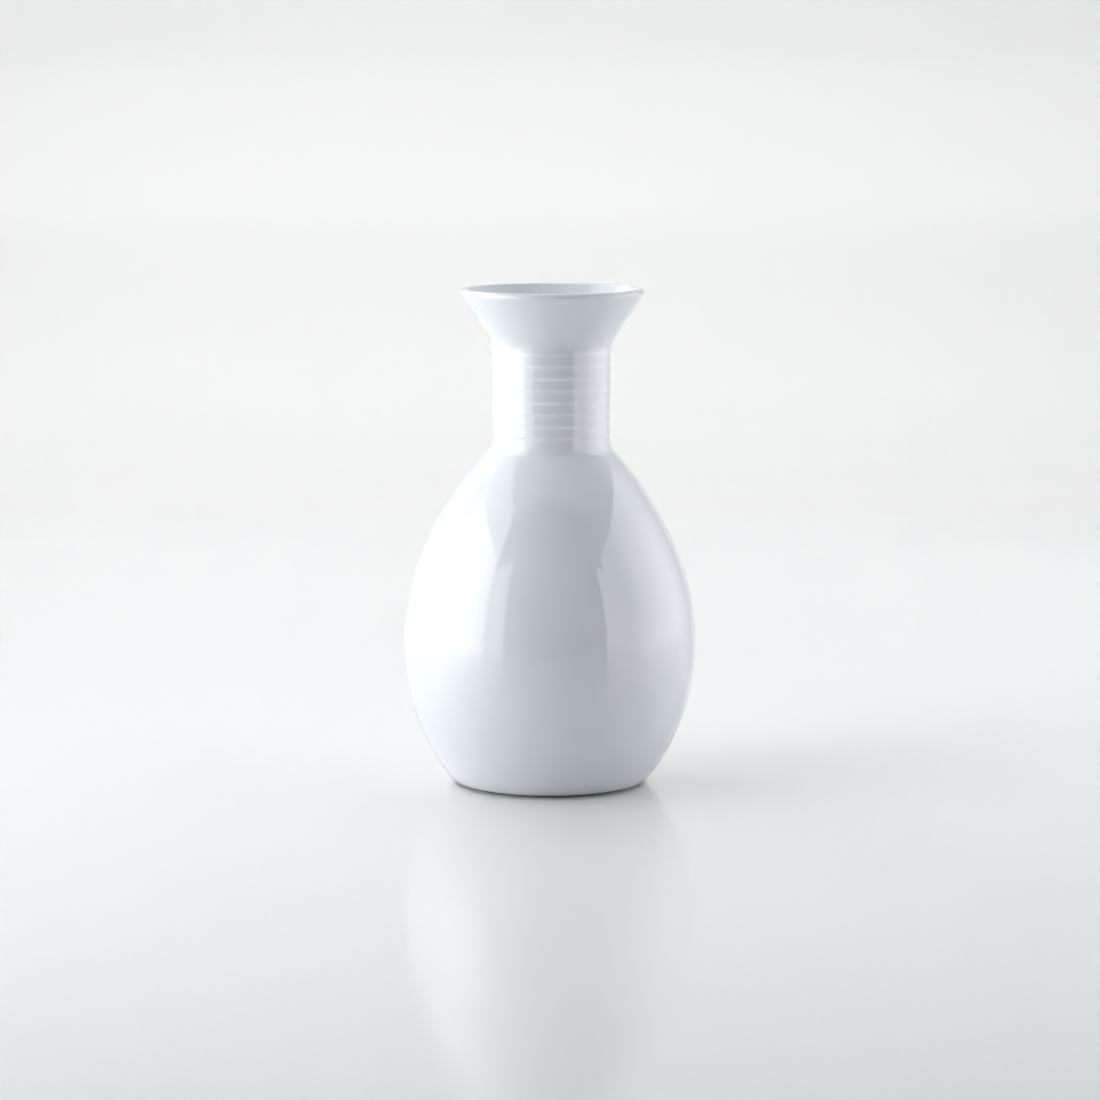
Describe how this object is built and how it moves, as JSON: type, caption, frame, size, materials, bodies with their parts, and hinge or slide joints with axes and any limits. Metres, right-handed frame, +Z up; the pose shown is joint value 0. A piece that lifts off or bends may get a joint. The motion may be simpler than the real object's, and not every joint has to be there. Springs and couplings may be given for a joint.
{
  "type": "flower vase",
  "caption": "White glazed porcelain bottle vase with an egg-shaped belly, a short ringed neck, a flared mouth with a rounded lip and an inset bare foot ring.",
  "frame": {"origin": "on the vase's axis, in the plane of the foot ring's standing face", "axes": "+Z up along the axis towards the mouth; the vase is round, so +X and +Y are any two level directions at right angles"},
  "size_m": [0.1184, 0.1184, 0.2],
  "materials": {
    "bare_porcelain": "matt biscuit, smoothed at the foot ring",
    "glazed_porcelain": "high gloss clear glaze over white porcelain, faintly cool"
  },
  "bodies": {
    "root": {"porcelain_body": "bare_porcelain", "outer_glaze": "glazed_porcelain", "liner_glaze": "glazed_porcelain", "recess_glaze": "glazed_porcelain"}
  },
  "joints": []
}
